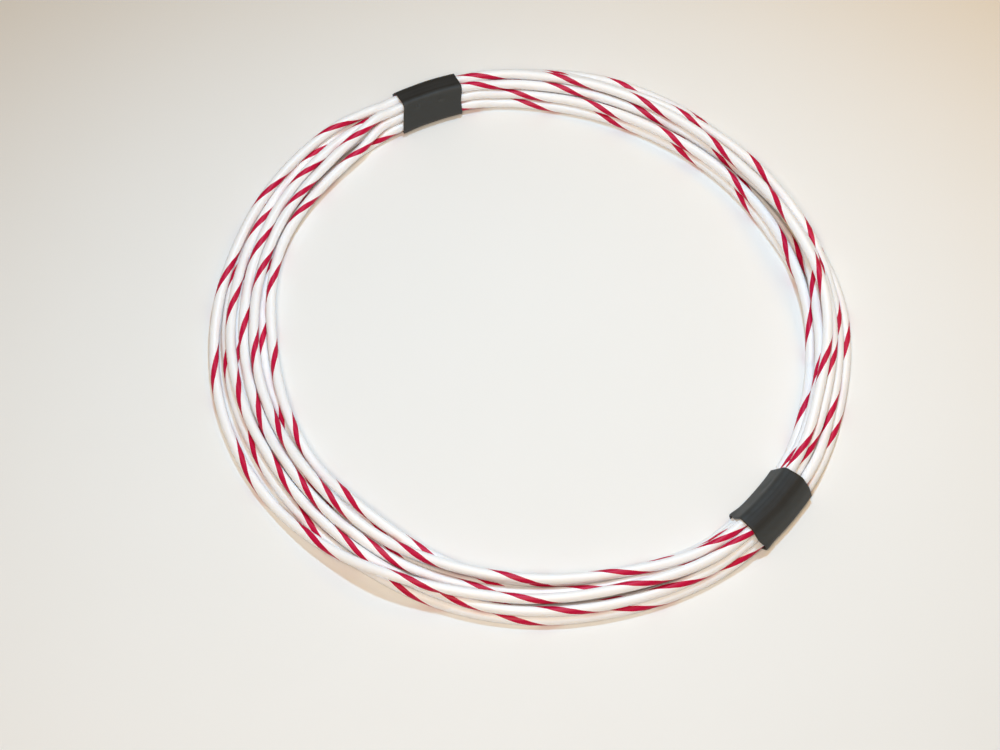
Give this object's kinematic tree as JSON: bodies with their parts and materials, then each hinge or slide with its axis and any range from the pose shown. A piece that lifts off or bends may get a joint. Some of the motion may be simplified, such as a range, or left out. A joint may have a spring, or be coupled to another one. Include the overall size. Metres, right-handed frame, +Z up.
{
  "type": "coiled instrument cable",
  "caption": "Hand-wound ring coil of thin white insulated wire with a spiral tracer, kept in shape by short black slip-on sleeves round the bundle.",
  "frame": {"origin": "middle of the ring's box, on the floor that the coil lies on", "axes": "+Z up, along the coil's axis; +Y towards the far side of the ring, near the sleeve that hides the wire's start"},
  "size_m": [0.13, 0.1278, 0.0086],
  "materials": {
    "jacket": "semi-gloss",
    "copper": "bright drawn",
    "sleeve": "satin"
  },
  "bodies": {
    "wire": {"turn_1": "jacket", "turn_2": "jacket", "turn_3": "jacket", "turn_4": "jacket", "turn_5": "jacket", "turn_6": "jacket", "turn_7": "jacket", "turn_8": "jacket", "turn_9": "jacket", "core_1": "copper", "core_2": "copper", "core_3": "copper", "core_4": "copper", "core_5": "copper", "core_6": "copper", "core_7": "copper", "core_8": "copper", "core_9": "copper"},
    "sleeve_a": {"sleeve_a": "sleeve"},
    "sleeve_b": {"sleeve_b": "sleeve"}
  },
  "joints": [
    {"name": "sleeve_a_slide", "type": "hinge", "parent": "wire", "child": "sleeve_a", "pos_m": [0.00067, -0.0005, 0], "axis": [0, 0, 1], "range_deg": [-2, 2]},
    {"name": "sleeve_b_slide", "type": "hinge", "parent": "wire", "child": "sleeve_b", "pos_m": [0.00067, -0.0005, 0], "axis": [0, 0, 1], "range_deg": [-2, 2]}
  ]
}
